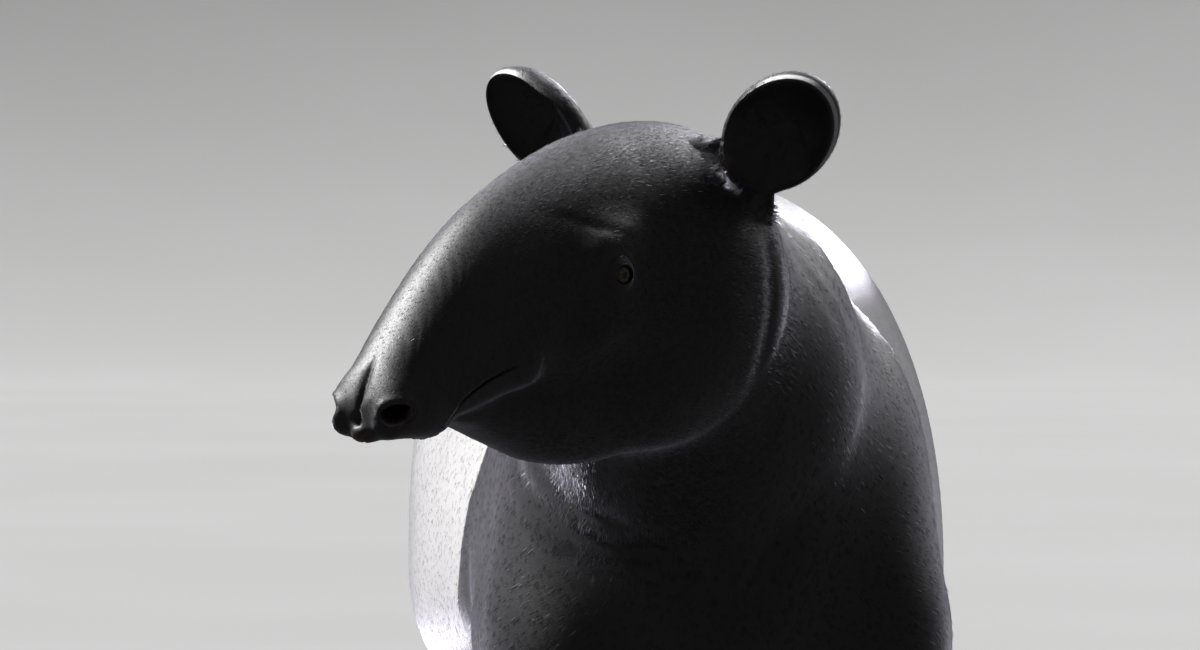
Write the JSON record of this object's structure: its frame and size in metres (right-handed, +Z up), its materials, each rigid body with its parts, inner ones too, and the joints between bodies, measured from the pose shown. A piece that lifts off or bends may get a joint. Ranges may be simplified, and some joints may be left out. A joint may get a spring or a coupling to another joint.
{
  "type": "malayan tapir",
  "caption": "Standing malayan tapir, life-size, head turned to its right, black fore and hind parts with a white saddle.",
  "frame": {"origin": "on the floor under the middle of the animal's bounding box", "axes": "+Z up, the body faces -Y and the animal's left side is +X"},
  "size_m": [0.636, 1.7964, 1.1038],
  "materials": {
    "black_coat": "short black hair",
    "white_coat": "short white hair",
    "horn": "dark horn",
    "eye": "wet"
  },
  "bodies": {
    "root": {"head": "black_coat", "neck": "black_coat", "shoulders": "black_coat", "torso": "white_coat", "ear_left": "black_coat", "eye_left": "eye", "ear_right": "black_coat", "eye_right": "eye", "fore_leg_left": "black_coat", "fore_hoof_left_inner": "horn", "fore_hoof_left_middle": "horn", "fore_hoof_left_outer": "horn", "fore_hoof_left_side": "horn", "fore_leg_right": "black_coat", "fore_hoof_right_inner": "horn", "fore_hoof_right_middle": "horn", "fore_hoof_right_outer": "horn", "fore_hoof_right_side": "horn", "hind_leg_left": "black_coat", "hind_hoof_left_inner": "horn", "hind_hoof_left_middle": "horn", "hind_hoof_left_outer": "horn", "hind_leg_right": "black_coat", "hind_hoof_right_inner": "horn", "hind_hoof_right_middle": "horn", "hind_hoof_right_outer": "horn", "tail": "white_coat"}
  },
  "joints": []
}
